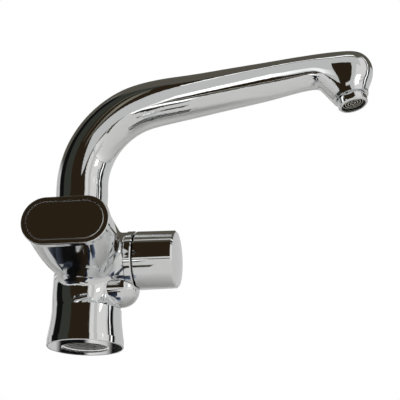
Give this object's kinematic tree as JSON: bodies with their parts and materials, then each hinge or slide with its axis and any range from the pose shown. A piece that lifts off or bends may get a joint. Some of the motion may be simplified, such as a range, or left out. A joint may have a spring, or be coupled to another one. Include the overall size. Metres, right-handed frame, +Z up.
{
  "type": "kitchen mixer tap",
  "caption": "Chromed deck-mounted kitchen mixer with a swivel spout, a stadium-shaped mixing handle on a forward neck and a side shut-off knob.",
  "frame": {"origin": "centre of the base rim, on the deck plane that the tap stands on", "axes": "+Z up the column, -Y towards the handle, +X towards the side knob; the spout turns about an axis 8.2 mm to the left of the column and at rest is swung 9 degrees from +X towards -Y"},
  "size_m": [0.2426, 0.0923, 0.2037],
  "materials": {
    "chrome": "polished",
    "brass": "machined",
    "plastic": "matt",
    "white_plastic": "matt",
    "ceramic": "lapped",
    "rubber": "matt",
    "steel": "plain"
  },
  "bodies": {
    "tap": {"tap_body": "chrome", "cartridge_base": "plastic", "cartridge_seals": "rubber", "cartridge_disc_fixed": "ceramic", "mixing_cartridge": "plastic", "cartridge_nut": "brass", "valve_seal": "rubber", "valve_disc_fixed": "ceramic", "valve_headwork": "brass", "valve_collar": "chrome", "spout_bush": "white_plastic", "spout_screw": "steel"},
    "mixer": {"cartridge_disc_moving": "ceramic", "cartridge_carrier": "plastic"},
    "handle": {"cartridge_stem": "brass", "handle_shell": "chrome", "handle_plate": "chrome", "handle_screw": "steel"},
    "valve": {"valve_spindle": "brass", "valve_disc_moving": "ceramic", "knob": "chrome", "knob_cap": "chrome", "knob_screw": "steel"},
    "spout": {"spout_tube": "chrome", "spout_rings": "rubber", "aerator_housing": "chrome", "aerator_grille": "plastic", "aerator_washer": "rubber"}
  },
  "joints": [
    {"name": "handle_turn", "type": "hinge", "parent": "tap", "child": "mixer", "pos_m": [0, 0, 0.0745], "axis": [0, -1, 0], "range_deg": [-45, 45]},
    {"name": "handle_pull", "type": "slide", "parent": "mixer", "child": "handle", "axis": [0, -1, 0], "range_m": [0, 0.008]},
    {"name": "knob_turn", "type": "hinge", "parent": "tap", "child": "valve", "pos_m": [0, 0, 0.0631], "axis": [1, 0, 0], "range_deg": [0, 90]},
    {"name": "spout_swivel", "type": "hinge", "parent": "tap", "child": "spout", "pos_m": [-0.0082, 0, 0.1], "axis": [0, 0, 1], "continuous": true}
  ]
}
